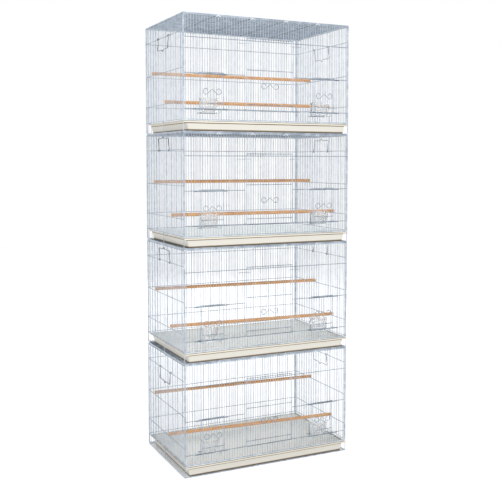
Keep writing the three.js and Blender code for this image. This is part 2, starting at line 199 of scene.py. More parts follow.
wire_material = make_wire_material("bright_zinc_plated_steel_wire", "A4B0BE", "C8D1DC")
# painted shade: a darker tone for the undersides of wires
painted_shade_wire_material = make_wire_material("painted_shade_zinc_plated_steel_wire", "75818E", "9CA8B5")
# painted light: a lighter tone for the grille, and painted highlights on rings and clips
painted_light_wire_material = make_wire_material("painted_light_zinc_plated_steel_wire", "DFEAEF", "F6FBFC", 0.45)
# the darkest tone, for handles, stiffeners and cup cradles; on the stiffeners it is painted shade
darkest_wire_material = make_wire_material("darkest_steel_wire", "3E4650", "646E79")
PANEL_WIRE = (wire_material, painted_shade_wire_material, painted_light_wire_material, darkest_wire_material)
print("made", [material.name for material in PANEL_WIRE])

# %% [markdown]
# ## Cream polystyrene for the tray
#
# The tray is high-impact polystyrene, vacuum formed from sheet. That leaves a satin face with a
# very slight orange peel. Brown bands at its foot, under its rolled lip and along its top edge
# are painted shade, and the lip's band between them is lighter, a painted highlight. We find
# those places by height in the cage, because Object coordinates are in metres from the floor:
# what is left after dividing by the tier height is the height in one cage. The inside is a
# lighter version of the same sheet, which is painted light for the cage floor that the wires
# and the roof shade.

# %% Tray material
LIP_TOP = box_of(1, "tray")[1].z
LIP_DEPTH = 8
BAND_HEIGHT = 50  # the colour ramp runs from the floor to this height


def make_tray_material(name, plain_sheet, painted_shade_band):
    material, tree = new_material(name)
    place = add_node(tree, "ShaderNodeTexCoord").outputs["Object"]
    height = add_node(tree, "ShaderNodeSeparateXYZ", Vector=place).outputs["Z"]
    in_cage = add_node(tree, "ShaderNodeMath", {"operation": "MODULO"})
    tree.links.new(height, in_cage.inputs[0])
    in_cage.inputs[1].default_value = TIER_HEIGHT * MM
    band_noise = add_node(tree, "ShaderNodeTexNoise", Vector=place, Scale=1 / (40 * MM), Detail=4.0)
    wander = add_node(tree, "ShaderNodeMath", {"operation": "MULTIPLY_ADD"})
    tree.links.new(band_noise.outputs["Fac"], wander.inputs[0])
    wander.inputs[1].default_value = 1.2 * MM
    tree.links.new(in_cage.outputs["Value"], wander.inputs[2])
    height_share = add_node(tree, "ShaderNodeMapRange", Value=wander.outputs["Value"], From_Max=BAND_HEIGHT * MM)
    bands = add_node(tree, "ShaderNodeValToRGB", Fac=height_share.outputs["Result"])
    lip_foot = (LIP_TOP - LIP_DEPTH) / BAND_HEIGHT
    lip_edge = LIP_TOP / BAND_HEIGHT
    # the lip band's lighter cream is a painted highlight
    painted_highlight_cream = colour("F2EBDC")
    # brown bands at the foot, under the lip and along the top edge are painted shade
    set_ramp(
        bands,
        (0.17, painted_shade_band),
        (0.24, plain_sheet),
        (lip_foot - 0.04, plain_sheet),
        (lip_foot - 0.03, painted_shade_band),
        (lip_foot + 0.02, painted_shade_band),
        (lip_foot + 0.04, painted_highlight_cream),
        (lip_edge - 0.02, painted_highlight_cream),
        (lip_edge + 0.005, painted_shade_band),
    )
    peel = add_node(tree, "ShaderNodeTexNoise", Vector=place, Scale=1 / (3 * MM), Detail=2.0)
    bump = add_node(tree, "ShaderNodeBump", Height=peel.outputs["Fac"], Strength=0.08, Distance=0.2 * MM)
    surface = add_node(
        tree,
        "ShaderNodeBsdfPrincipled",
        Base_Color=bands.outputs["Color"],
        Roughness=0.38,
        Normal=bump.outputs["Normal"],
    )
    surface.inputs["IOR"].default_value = 1.59
    add_node(tree, "ShaderNodeOutputMaterial", Surface=surface.outputs["BSDF"])
    return material


# the brown of the outside's bands is painted shade
tray_outside = make_tray_material(
    "cream_vacuum_formed_polystyrene", plain_sheet=colour("E2DED4"), painted_shade_band=colour("6B5835")
)
# the inside's lighter colour is painted light for the shaded cage floor
painted_light_tray_inside = make_tray_material(
    "painted_light_cream_vacuum_formed_polystyrene", plain_sheet=colour("F8F7F3"), painted_shade_band=colour("F0EEE8")
)
print("made", tray_outside.name, "and", painted_light_tray_inside.name)

# %% [markdown]
# ## Stained beech for the perches
#
# A perch is a beech dowel, dipped in a thin orange stain and left unvarnished. Beech has short
# dark flecks along the grain. We stretch a noise twenty times along the dowel for the grain,
# and use a second, finer one for the flecks. The grain is also pressed in a little as bump,
# since the stain raises it.

# %% Perch material
def make_perch_material():
    material, tree = new_material("orange_stained_beech_dowel")
    place = add_node(tree, "ShaderNodeTexCoord").outputs["Object"]
    along = add_node(tree, "ShaderNodeMapping", Vector=place, Scale=(0.05, 1.0, 1.0)).outputs["Vector"]
    grain = add_node(tree, "ShaderNodeTexNoise", Vector=along, Scale=1 / (2.5 * MM), Detail=6.0)
    grain.inputs["Distortion"].default_value = 0.6
    tones = add_node(tree, "ShaderNodeValToRGB", Fac=grain.outputs["Fac"])
    set_ramp(tones, (0.3, colour("C27A36")), (0.5, colour("EDAA5C")), (0.72, colour("FACB8C")))
    fleck = add_node(tree, "ShaderNodeTexNoise", Vector=along, Scale=1 / (0.8 * MM), Detail=2.0)
    dark = add_node(tree, "ShaderNodeValToRGB", Fac=fleck.outputs["Fac"])
    set_ramp(dark, (0.3, (0.62, 0.5, 0.42, 1.0)), (0.42, (1.0, 1.0, 1.0, 1.0)))
    mixed = add_node(tree, "ShaderNodeMix", {"data_type": "RGBA", "blend_type": "MULTIPLY"})
    mixed.inputs["Factor"].default_value = 0.8
    tree.links.new(tones.outputs["Color"], mixed.inputs["A"])
    tree.links.new(dark.outputs["Color"], mixed.inputs["B"])
    bump = add_node(tree, "ShaderNodeBump", Height=grain.outputs["Fac"], Strength=0.35, Distance=0.3 * MM)
    surface = add_node(
        tree,
        "ShaderNodeBsdfPrincipled",
        Roughness=0.62,
        Normal=bump.outputs["Normal"],
    )
    tree.links.new(mixed.outputs["Result"], surface.inputs["Base Color"])
    add_node(tree, "ShaderNodeOutputMaterial", Surface=surface.outputs["BSDF"])
    return material


perch_material = make_perch_material()
print("made", perch_material.name)

# %% [markdown]
# ## Clear polystyrene for the seed cups
#
# The cups are injection moulded from crystal polystyrene, which is as clear as glass and bends
# light a little more (IOR 1.59). Handling leaves fine scratches, so it isn't perfectly smooth.
# A wall of a millimetre shows only about a third of that, so Alpha lets the rest straight past.

# %% Cup material
def make_cup_material():
    material, tree = new_material("clear_moulded_polystyrene")
    place = add_node(tree, "ShaderNodeTexCoord").outputs["Object"]
    scuff = add_node(tree, "ShaderNodeTexNoise", Vector=place, Scale=1 / (6 * MM), Detail=5.0)
    haze = add_node(tree, "ShaderNodeMapRange", Value=scuff.outputs["Fac"], To_Min=0.01, To_Max=0.07)
    surface = add_node(
        tree,
        "ShaderNodeBsdfPrincipled",
        Roughness=haze.outputs["Result"],
        IOR=1.59,
    )
    surface.inputs["Base Color"].default_value = colour("FAFCFD")
    surface.inputs["Transmission Weight"].default_value = 0.9
    surface.inputs["Alpha"].default_value = 0.35
    add_node(tree, "ShaderNodeOutputMaterial", Surface=surface.outputs["BSDF"])
    return material


cup_material = make_cup_material()
print("made", cup_material.name)

# %% [markdown]
# ## Straight wire
#
# A straight wire is a thin cylinder from one point to another. `create_cone` with two equal
# radii makes it standing on Z, and a turned matrix lays it between its ends. A panel has a
# hundred of them, so each has only ten sides. Cut wire has a small burr that plating rounds
# off, and one bevel over all the end edges of a panel stands for that.

# %% Straight wire
WIRE_SIDES = 10
END_CHAMFER = 0.25
# the finishes: plain wire, painted shade, painted light and highlights, and the darkest tone
BRIGHT, PAINTED_SHADE, PAINTED_LIGHT, DARK = range(4)  # which of a piece's wire finishes


def straight_wire(bm, start, end, diameter, finish=BRIGHT):
    start, end = Vector(start), Vector(end)
    run = end - start
    turned = run.to_track_quat("Z", "Y").to_matrix().to_4x4()
    wire = bmesh.ops.create_cone(
        bm,
        cap_ends=True,
        segments=WIRE_SIDES,
        radius1=diameter / 2,
        radius2=diameter / 2,
        depth=run.length,
        matrix=Matrix.Translation((start + end) / 2) @ turned,
    )["verts"]
    for face in {face for vert in wire for face in vert.link_faces}:
        face.material_index = finish


def chamfer_ends(bm):
    ends = {edge for face in bm.faces if len(face.verts) == WIRE_SIDES for edge in face.edges}
    bmesh.ops.bevel(
        bm,
        geom=list(ends),
        offset=END_CHAMFER,
        offset_type="OFFSET",
        segments=1,
        profile=0.5,
        material=-1,
        affect="EDGES",
    )


print("a straight wire has", WIRE_SIDES, "sides")

# %% [markdown]
# ## Bent wire
#
# Handles, hooks and rings are wire that is bent in a jig. Blender's curve with a round bevel
# sweeps a circle along a path and caps its ends, which is just that. `rounded` turns each
# corner of a path into a small arc, since a jig's pin has a radius.

# %% Bent wire
ROUND = 4  # bevel resolution of the curve, which gives twelve sides


def rounded(points, radius, steps=5):
    """A path whose corners are bent round a pin of about this radius."""
    points = [Vector(point) for point in points]
    path = [points[0]]
    for before, corner, after in zip(points, points[1:], points[2:]):
        back, on = before - corner, after - corner
        reach = min(radius, 0.49 * back.length, 0.49 * on.length)
        start = corner + back.normalized() * reach
        end = corner + on.normalized() * reach
        for step in range(steps + 1):
            share = step / steps
            path.append(start.lerp(corner, share).lerp(corner.lerp(end, share), share))
    return [*path, points[-1]]


def bent_wire(bm, path, diameter, closed=False, finish=BRIGHT):
    data = bpy.data.curves.new("bend", "CURVE")
    data.dimensions = "3D"
    data.bevel_depth = diameter / 2
    data.bevel_resolution = ROUND
    data.use_fill_caps = not closed
    spline = data.splines.new("POLY")
    spline.points.add(len(path) - 1)
    for knot, place in zip(spline.points, path):
        knot.co = (*place, 1.0)
    spline.use_cyclic_u = closed
    bend = bpy.data.objects.new("bend", data)
    mesh = bpy.data.meshes.new_from_object(bend)
    for face in mesh.polygons:
        face.material_index = finish
    swept = len(bm.verts)
    bm.from_mesh(mesh)
    bm.verts.ensure_lookup_table()
    bmesh.ops.remove_doubles(bm, verts=bm.verts[swept:], dist=0.001)
    bpy.data.objects.remove(bend)
    bpy.data.curves.remove(data)
    bpy.data.meshes.remove(mesh)


def arc(radius, start, end, steps):
    """Points on an arc, as (across, up), with angles in degrees."""
    turns = [math.radians(start + (end - start) * step / steps) for step in range(steps + 1)]
    return [(radius * math.cos(turn), radius * math.sin(turn)) for turn in turns]


print("a bent wire has", 4 + 2 * ROUND, "sides")

# %% [markdown]
# ## Finishing a piece
#
# Each piece ends the same way: scaled from millimetres, its faces smoothed except at real
# edges, given its material, hung on its body and set in the place of the frame's solid.

# %% Finish a piece
SHARP = math.radians(40)
made = []


def finish_piece(bm, name, material, body="cage_stack", node=None):
    bmesh.ops.scale(bm, vec=(MM, MM, MM), verts=bm.verts)
    mesh = bpy.data.meshes.new(name)
    bm.to_mesh(mesh)
    bm.free()
    mesh.shade_smooth()
    mesh.set_sharp_from_angle(angle=SHARP)
    for each in material if isinstance(material, tuple) else (material,):
        mesh.materials.append(each)
    piece = bpy.data.objects.new(name, mesh)
    bpy.context.scene.collection.objects.link(piece)
    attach(piece, body)
    if node:
        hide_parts(node)
    made.append(piece)
    return piece


print("edges over", round(math.degrees(SHARP)), "degrees stay sharp")

# %% [markdown]
# ## Where the wires go
#
# The uprights of a panel stand at one spacing over its whole width, so the gaps come out equal:
# 65 of them over 750 mm is 11.5 mm, the usual gap in such a cage. The cross wires are thicker,
# and the rim round a panel is the thickest. Heights are above the floor of one cage.

# %% Wire sizes and levels
FRONT_GAPS = 65
END_GAPS = 40
UPRIGHT = 2.0
CROSS = 2.5
RIM = 3.0
BENT = 2.6
PIN_RADIUS = 4
SILL = 90
LOWER_RAIL = 118
FEEDER_HEAD = 228
MIDDLE_RAIL = 248
MAIN_HEAD = 366
UPPER_RAIL = 390

front_pitch = CAGE_WIDTH / FRONT_GAPS
end_pitch = CAGE_DEPTH / END_GAPS
print("uprights every", round(front_pitch, 2), "and", round(end_pitch, 2), "mm")


def floor_of(tier):
    return (tier - 1) * TIER_HEIGHT


def both_sides(pitch, count, offset=0.5):
    """The middles of evenly spaced wires on both sides of the middle."""
    return sorted({side * (i + offset) * pitch for i in range(count) for side in (-1, 1)})


# %% [markdown]
# ## The layers of a panel
#
# A mat is two layers: the uprights lie inside, the cross wires outside, and the weld sinks one
# about a millimetre into the other. The rim lies between. One function gives the depth of each
# layer from a panel's outer face. Another gives a point on a panel, from how far it is along
# the panel and how high, so that the same code draws the front, the back and both ends.

# %% Layers
PANEL = cage_high.z - cage_low.z
PANEL_GAP = 0.3  # between two panels, or a panel and a door
FACING_FRONT, FACING_SIDE = 1, 0  # the axis that a panel is thin along


def layers(outer, outward, thickness=PANEL):
    """Depths of the uprights, the rim and the cross wires."""
    return (
        outer - outward * (thickness - UPRIGHT / 2),
        outer - outward * thickness / 2,
        outer - outward * CROSS / 2,
    )


def on_panel(facing, depth, along, up):
    return Vector((along, depth, up) if facing == FACING_FRONT else (depth, along, up))


def uprights(bm, facing, depth, runs, diameter=UPRIGHT):
    for along, bottom, top in runs:
        ends = [on_panel(facing, depth, along, up) for up in (bottom, top)]
        straight_wire(bm, *ends, diameter)


def cross_wires(bm, facing, depth, runs, diameter=CROSS):
    for up, start, end in runs:
        ends = [on_panel(facing, depth, along, up) for along in (start, end)]
        # the cross wires get the darker tone of painted shade
        straight_wire(bm, *ends, diameter, PAINTED_SHADE)


def edge_wire(bm, corners, diameter=RIM):
    """One wire that is bent round the edge of a panel and welded closed."""
    corners = [Vector(corner) for corner in corners]
    joint = (corners[0] + corners[-1]) / 2
    loop = rounded([joint, *corners, joint], PIN_RADIUS)
    bent_wire(bm, loop[:-1], diameter, closed=True)


def flat_edge(bm, left, right, front, back, level):
    edge_wire(bm, [(left, front, level), (right, front, level), (right, back, level), (left, back, level)])


def upright_edge(bm, half, depth, foot, top):
    edge_wire(bm, [(-half, depth, foot), (half, depth, foot), (half, depth, top), (-half, depth, top)])


print("a panel is", round(PANEL, 1), "mm thick")

# %% [markdown]
# ## Roof and base
#
# Both are the same flat mat: a rim, close-set wires along the cage, and stiffeners from front
# to back under them. Seen from below at a low angle the close wires cover each other, and the
# roof looks almost solid; its close wires and its stiffeners get darker tones, which are painted
# shade. At each stiffener of the roof a small clip stands over the front edge and keeps the cage
# above from sliding off; its bright tone is a painted highlight.

# %% Flat mats
STIFFENER = 2.8
STIFFENERS = both_sides(150, 2)
CLIP_WIRE = 3.0
CLIP_RISE = 1.9
CLIP_PROUD = 0.15  # in front of the roof: the main door slides up past them
CLIP_LEG = [(8, 2, -5), (6, 0, -4)]  # across, back, and up from the roof's underside


def roof_clip(bm, x, front, underside, peak):
    y = front + CLIP_WIRE / 2 - CLIP_PROUD
    leg = [Vector((across, y + back, underside + up)) for across, back, up in CLIP_LEG]
    left = [Vector((x - point.x, point.y, point.z)) for point in leg]
    right = [Vector((x + point.x, point.y, point.z)) for point in reversed(leg)]
    # the clip's bright tone is a painted highlight
    bent_wire(bm, rounded([*left, (x, y, peak), *right], 3), CLIP_WIRE, finish=PAINTED_LIGHT)


def flat_mat(tier, part):
    low, high = box_of(tier, part)
    upper = high.z - UPRIGHT / 2
    middle = (low.z + high.z) / 2
    left, right = low.x + RIM / 2, high.x - RIM / 2
    front, back = low.y + RIM / 2, high.y - RIM / 2
    bm = bmesh.new()
    for y in both_sides(end_pitch, END_GAPS // 2):
        # the close wires get the darker tone of painted shade
        straight_wire(bm, (left, y, upper), (right, y, upper), UPRIGHT, PAINTED_SHADE)
    for x in STIFFENERS:
        level = low.z + STIFFENER / 2
        # the stiffeners get the darkest tone, as painted shade
        straight_wire(bm, (x, low.y, level), (x, high.y, level), STIFFENER, DARK)
    chamfer_ends(bm)
    if part == "top_panel":
        peak = high.z + (CLIP_RISE if tier < TIERS else -CLIP_WIRE / 2)
        for x in STIFFENERS:
            roof_clip(bm, x, low.y, low.z, peak)
    flat_edge(bm, left, right, front, back, middle)
    node = f"tier_{tier}_{part}"
    return finish_piece(bm, f"{node}_wires", PANEL_WIRE, node=node)


for tier in range(1, TIERS + 1):
    flat_mat(tier, "base_frame")
    flat_mat(tier, "top_panel")
print("roof has", len(made[1].data.polygons), "faces")

# %% [markdown]
# ## The front
#
# The front panel has one large doorway and two small ones. The maker welds the whole mat and
# then clips the uprights out of each doorway, so what is left stops at the wires above and
# below it. A doubled wire at the sill and head of each small doorway keeps its edge straight,
# and a bent keeper on each post beside the large one holds that door against the cage.

# %% Front panel
DOORWAY_POSTS = 9  # uprights clipped out on each side of the middle
FEEDER_POSTS = range(18, 26)  # and for a small doorway
DOUBLED = (186, 330)  # where a doubled wire starts and ends
KEEPER = 2.4
KEEPER_LEVEL = 353.5
KEEPER_BEND = [(143.5, -229.4), (112.5, -229.4), (108.5, -234.8), (90, -234.8)]  # x and y


def front_runs(low, high, floor):
    runs = []
    for n in range(FRONT_GAPS // 2):
        head = MAIN_HEAD if n < DOORWAY_POSTS else FEEDER_HEAD
        whole = n >= DOORWAY_POSTS and n not in FEEDER_POSTS
        spans = [(low, high)] if whole else [(low, floor + SILL), (floor + head, high)]
        for x in both_sides(front_pitch, 1, n + 0.5):
            runs += [(x, *span) for span in spans]
    return runs


def front_panel(tier):
    node = f"tier_{tier}_front_panel"
    low, high = box_of(tier, "front_panel")
    floor = floor_of(tier)
    inner, middle, outer = layers(cage_low.y, -1)
    foot, top, edge = low.z + RIM / 2, high.z - RIM / 2, high.x - RIM / 2
    post = (DOORWAY_POSTS + 0.5) * front_pitch
    bm = bmesh.new()
    uprights(bm, FACING_FRONT, inner, front_runs(foot, top, floor))
    rails = [(floor + MAIN_HEAD, -edge, edge), (floor + SILL, -edge, edge)]
    for side in (-1, 1):
        rails.append((floor + FEEDER_HEAD, side * post, side * edge))
        for level in (FEEDER_HEAD - CROSS, SILL - CROSS):
            rails.append((floor + level, side * DOUBLED[0], side * DOUBLED[1]))
    cross_wires(bm, FACING_FRONT, outer, rails)
    chamfer_ends(bm)
    upright_edge(bm, edge, middle, foot, top)
    for side in (-1, 1):
        keeper = [(side * x, y, floor + KEEPER_LEVEL) for x, y in KEEPER_BEND]
        bent_wire(bm, rounded(keeper, 2.5), KEEPER)
    return finish_piece(bm, f"{node}_wires", PANEL_WIRE, node=node)


for tier in range(1, TIERS + 1):
    front_panel(tier)
print("front has", len(made[-1].data.polygons), "faces")

# %% [markdown]
# ## The back and the ends
#
# The back is the same mat without doorways, and reaches down to the base, behind the tray. An
# end panel stands on three feet: its two edge wires, and a hairpin in the middle. Its highest
# cross wire is the one the carrying handle hangs on, so it lies a little further in.

# %% Back and ends
FOOT_LEVEL = 48.6
HINGE_WIRE = 2.4
END_UPRIGHT = 1.8
HAIRPIN = (8, 12)  # y of its two legs
HAIRPIN_OVERLAP = 4


def back_panel(tier):
    node = f"tier_{tier}_back_panel"
    low, high = box_of(tier, "back_panel")
    floor = floor_of(tier)
    inner, middle, outer = layers(high.y, 1)
    foot, top, edge = low.z + RIM / 2, high.z - RIM / 2, high.x - RIM / 2
    bm = bmesh.new()
    posts = both_sides(front_pitch, FRONT_GAPS // 2)
    uprights(bm, FACING_FRONT, inner, [(x, foot, top) for x in posts])
    levels = (UPPER_RAIL, MIDDLE_RAIL, LOWER_RAIL, FOOT_LEVEL)
    cross_wires(bm, FACING_FRONT, outer, [(floor + level, -edge, edge) for level in levels])
    chamfer_ends(bm)
    upright_edge(bm, edge, middle, foot, top)
    return finish_piece(bm, f"{node}_wires", PANEL_WIRE, node=node)


def end_panel(tier, part, side):
    node = f"tier_{tier}_{part}"
    low, high = box_of(tier, part)
    floor = floor_of(tier)
    inner, middle, outer = layers(side * CAGE_WIDTH / 2, side)
    foot, top, edge = low.z + RIM / 2, high.z - RIM / 2, high.y - RIM / 2
    bm = bmesh.new()
    posts = both_sides(end_pitch, END_GAPS // 2, 0)
    uprights(bm, FACING_SIDE, inner, [(y, floor + FOOT_LEVEL, top) for y in posts], END_UPRIGHT)
    levels = (MIDDLE_RAIL, LOWER_RAIL, FOOT_LEVEL)
    cross_wires(bm, FACING_SIDE, outer, [(floor + level, -edge, edge) for level in levels])
    cross_wires(bm, FACING_SIDE, middle, [(floor + UPPER_RAIL, -edge, edge)], HINGE_WIRE)
    cross_wires(bm, FACING_SIDE, middle, [(top, -edge, edge)], RIM)
    for y in (-edge, edge):
        straight_wire(bm, (middle, y, low.z), (middle, y, high.z), RIM)
    chamfer_ends(bm)
    near, far = HAIRPIN
    ends = floor + FOOT_LEVEL + HAIRPIN_OVERLAP
    bend = [(near, ends), (near, low.z + UPRIGHT / 2), (far, low.z + UPRIGHT / 2), (far, ends)]
    bent_wire(bm, rounded([(middle, y, z) for y, z in bend], 2), UPRIGHT)
    return finish_piece(bm, f"{node}_wires", PANEL_WIRE, node=node)


for tier in range(1, TIERS + 1):
    back_panel(tier)
    end_panel(tier, "left_panel", -1)
    end_panel(tier, "right_panel", 1)
print("end has", len(made[-1].data.polygons), "faces")

# %% [markdown]
# ## Rings
#
# The panels are held together by rings of soft wire that are closed round two edge wires with
# pliers. They are small, and a lighter tone paints a highlight on them along every upright edge of the
# cage.

# %% Rings
RING_WIRE = 1.4
RING_ROOM = 0.15  # how loosely a ring lies round its wires
RING_LEVELS = (66, 170, 300, 425)
FRONT_SHIFT = 0.1  # outward from the panels' middle
BACK_SHIFT = -1.3  # inward, which keeps these rings inside the cage's depth


def corner_rings(tier):
    bm = bmesh.new()
    radius = RIM / 2 + RING_WIRE / 2 + RING_ROOM
    for side_x in (-1, 1):
        panel_edge = side_x * (CAGE_WIDTH / 2 - PANEL - PANEL_GAP - RIM / 2)
        end_edge = side_x * (CAGE_WIDTH / 2 - PANEL / 2)
        for side_y, shift in ((-1, FRONT_SHIFT), (1, BACK_SHIFT)):
            y = side_y * (CAGE_DEPTH / 2 - PANEL / 2 + shift)
            for level in RING_LEVELS:
                far = [(end_edge + side_x * u, v) for u, v in arc(radius, -90, 90, 6)]
                near = [(panel_edge + side_x * u, v) for u, v in arc(radius, 90, 270, 6)]
                loop = [(x, y + v, floor_of(tier) + level) for x, v in [*far, *near]]
                # the rings' bright tone is a painted highlight
                bent_wire(bm, loop, RING_WIRE, closed=True, finish=PAINTED_LIGHT)
    return finish_piece(bm, f"tier_{tier}_corner_rings", PANEL_WIRE)


for tier in range(1, TIERS + 1):
    corner_rings(tier)
print("rings have", len(made[-1].data.polygons), "faces")

# %% [markdown]
# ## The sliding doors
#
# Each door is a small mat in front of its doorway, edged with thicker wire. A hook on each side
# reaches through the doorway and behind the post, so the door can slide up but not fall off,
# and the lowest pair comes to rest on the sill wire. The scroll is the finger grip: one wire
# that is curled at both ends round a pin.

# %% Sliding doors
DOOR_REAR = cage_low.y - PANEL_GAP
DOOR = 3.0
EDGE_OVERRUN = 1  # of a door's edge wires, past the middle of its outer cross wires
HOOK = 2.2
HOOK_DEPTH = -225.0
HOOK_LIFT = CROSS / 2 + HOOK / 2 + 0.9  # a hook's height over the wire under it
SCROLL_HALF = 27
SCROLL_CURL = 11
SCROLL_PEAK = 9
SCROLL_TIGHTEN = 0.08
SCROLL_DEPTH = -233.4


def scroll(bm, middle, level):
    curl = arc(SCROLL_CURL, -131, 96, 18)
    tail = enumerate(arc(SCROLL_CURL, 112, 160, 3), start=1)
    inward = [(u * (1 - SCROLL_TIGHTEN * i), v * (1 - SCROLL_TIGHTEN * i)) for i, (u, v) in tail]
    half = [(SCROLL_HALF + u, v) for u, v in [*curl, *inward]]
    path = [*[(-u, v) for u, v in reversed(half)], (0, SCROLL_PEAK), *half]
    # the scroll gets the darker tone of painted shade
    bent_wire(bm, [(middle + u, SCROLL_DEPTH, level + v) for u, v in path], HOOK, finish=PAINTED_SHADE)


def door(tier, part, middle, half, top, posts, rails, hook_levels, hook_tip, grip):
    node = f"tier_{tier}_{part}"
    low, _ = box_of(tier, part)
    floor = floor_of(tier)
    inner, edge_depth, outer = layers(DOOR_REAR - DOOR, -1, DOOR)
    edge, foot, head = half - CROSS / 2, low.z + CROSS / 2, floor + top - CROSS / 2
    bm = bmesh.new()
    uprights(bm, FACING_FRONT, inner, [(middle + x, foot, head) for x in posts])
    levels = [foot, head, *[floor + level for level in rails]]
    cross_wires(bm, FACING_FRONT, outer, [(level, middle - edge, middle + edge) for level in levels])
    for side in (-1, 1):
        x = middle + side * edge
        ends = [(x, edge_depth, level) for level in (foot - EDGE_OVERRUN, head + EDGE_OVERRUN)]
        straight_wire(bm, *ends, CROSS)
    chamfer_ends(bm)
    for side in (-1, 1):
        for level in hook_levels:
            bend = [(edge, edge_depth), (edge, HOOK_DEPTH), (hook_tip - HOOK / 2, HOOK_DEPTH)]
            path = rounded([(middle + side * x, y, floor + level) for x, y in bend], 1.6)
            bent_wire(bm, path, HOOK)
    scroll(bm, middle, floor + grip)
    return finish_piece(bm, f"{node}_wires", PANEL_WIRE, body=node, node=node)


FEEDER_MIDDLE = 22 * front_pitch
MAIN_DOOR = {
    "half": 106,
    "top": 376,
    "posts": both_sides(front_pitch, DOORWAY_POSTS),
    "rails": (112, 250),
    "hook_levels": [SILL + HOOK_LIFT],
    "hook_tip": 114.5,
    "grip": 187,
}
FEEDER_DOOR = {
    "half": 48.5,
    "top": 233,
    "posts": both_sides(front_pitch, 4),
    "rails": (112,),
    "hook_levels": [SILL + HOOK_LIFT, FEEDER_HEAD + HOOK_LIFT],
    "hook_tip": 57,
    "grip": 158,
}
for tier in range(1, TIERS + 1):
    door(tier, "main_door", 0, **MAIN_DOOR)
    for part, side in (("left_feeder_door", -1), ("right_feeder_door", 1)):
        door(tier, part, side * FEEDER_MIDDLE, **FEEDER_DOOR)
print("feeder door has", len(made[-1].data.polygons), "faces")

# %% [markdown]
# ## Carrying handles
#
# A handle hangs from the end panel's highest cross wire by an eye at the end of each leg. We
# draw it in its own plane, hanging from the origin, then turn it to where it lies: it leans on
# the panel below its hinge, or is swung up over it, as on the two middle cages. The notch in
# its crossbar keeps a hanging hook or a finger in the middle.

# %% Carrying handles
EYE_RADIUS = 3.75
HANDLE_LEG = [(63.25, -7.5), (61.25, -24.5), (63.25, -46), (60.25, -49), (9, -49)]
HANDLE_NOTCH = -58
NOTCH_BLUNT = 0.8
HANDLE_LEAN = math.radians(4)
RAISED_TIERS = (2, 3)


def carrying_handle(tier, part, side):
    node = f"tier_{tier}_{part}"
    eye = [(u, HANDLE_LEG[0][0], v) for u, v in arc(EYE_RADIUS, 225, -60, 18)]
    leg = [(0, y, z) for y, z in HANDLE_LEG]
    rear = [*eye, *rounded([eye[-1], *leg, (0, 0, HANDLE_NOTCH)], 3)[1:-1]]
    front = [(x, -y, z) for x, y, z in reversed(rear)]
    bm = bmesh.new()
    bent_wire(bm, [*rear, (0, 0, HANDLE_NOTCH + NOTCH_BLUNT), *front], BENT, finish=DARK)
    lean = HANDLE_LEAN - math.pi if tier in RAISED_TIERS else -HANDLE_LEAN
    hinge = Vector((side * (CAGE_WIDTH / 2 - PANEL / 2), 0, floor_of(tier) + UPPER_RAIL))
    facing = Matrix.Rotation(math.pi if side < 0 else 0, 4, "Z")
    place = Matrix.Translation(hinge) @ facing @ Matrix.Rotation(lean, 4, "Y")
    bmesh.ops.transform(bm, matrix=place, verts=bm.verts)
    return finish_piece(bm, f"{node}_wire", PANEL_WIRE, body=node, node=node)


for tier in range(1, TIERS + 1):
    carrying_handle(tier, "left_handle", -1)
    carrying_handle(tier, "right_handle", 1)
print("handle has", len(made[-1].data.polygons), "faces")

# %% [markdown]
# ## The floor grille
#
# A wire floor lies on the tray's lip. It is a mat of its own that pulls out through the front,
# with wires from front to back at the spacing of the front panel.

# %% Floor grille
GRILLE_RAILS = 5


def floor_grille(tier):
    node = f"tier_{tier}_floor_grille"
    low, high = box_of(tier, "floor_grille")
    middle = (low.z + high.z) / 2
    left, right = low.x + RIM / 2, high.x - RIM / 2
    front, back = low.y + RIM / 2, high.y - RIM / 2
    bm = bmesh.new()
    for x in both_sides(front_pitch, FRONT_GAPS // 2):
        level = high.z - UPRIGHT / 2
        straight_wire(bm, (x, front, level), (x, back, level), UPRIGHT)
    for i in range(1, GRILLE_RAILS + 1):
        y = front + (back - front) * i / (GRILLE_RAILS + 1)
        level = low.z + CROSS / 2
        straight_wire(bm, (left, y, level), (right, y, level), CROSS)
    chamfer_ends(bm)
    flat_edge(bm, left, right, front, back, middle)
    # the grille's lighter tone is painted light over the shaded cage floor
    return finish_piece(bm, f"{node}_wires", painted_light_wire_material, body=node, node=node)


for tier in range(1, TIERS + 1):
    floor_grille(tier)
print("grille has", len(made[-1].data.polygons), "faces")

# %% [markdown]
# ## The tray
#
# The tray is one formed sheet. We start from its floor outline with rounded corners and extrude
# that edge again and again, each time scaling the new edge to the next level: up the outside of
# the wall, out under the lip, up over it, in across its top, down the inside, and a last face
# closes the floor. The front of the lip turns down as a hem, which is also the finger grip.

# %% Levels of a formed sheet
Level = namedtuple("Level", "half front back height")


def outline(bm, level, floor, corner):
    """A face with rounded corners, at the lowest level."""
    places = ((-1, level.front), (1, level.front), (1, level.back), (-1, level.back))
    corners = [bm.verts.new((side * level.half, y, floor + level.height)) for side, y in places]
    bm.faces.new(corners)
    bmesh.ops.bevel(
        bm,
        geom=corners,
        offset=corner,
        offset_type="OFFSET",
        segments=6,
        profile=0.5,
        material=-1,
        affect="VERTICES",
    )
    return list(bm.edges)


def grow(bm, edges, previous, target, floor):
    """Extrude a loop of edges and fit the new loop to the next level."""
    grown = bmesh.ops.extrude_edge_only(bm, edges=edges)["geom"]
    verts = {item for item in grown if isinstance(item, bmesh.types.BMVert)}
    for vert in verts:
        share = (vert.co.y - previous.front) / (previous.back - previous.front)
        vert.co.x *= target.half / previous.half
        vert.co.y = target.front + share * (target.back - target.front)
        vert.co.z = floor + target.height
    return [item for item in grown if isinstance(item, bmesh.types.BMEdge) and set(item.verts) <= verts]


print("a level has", Level._fields)

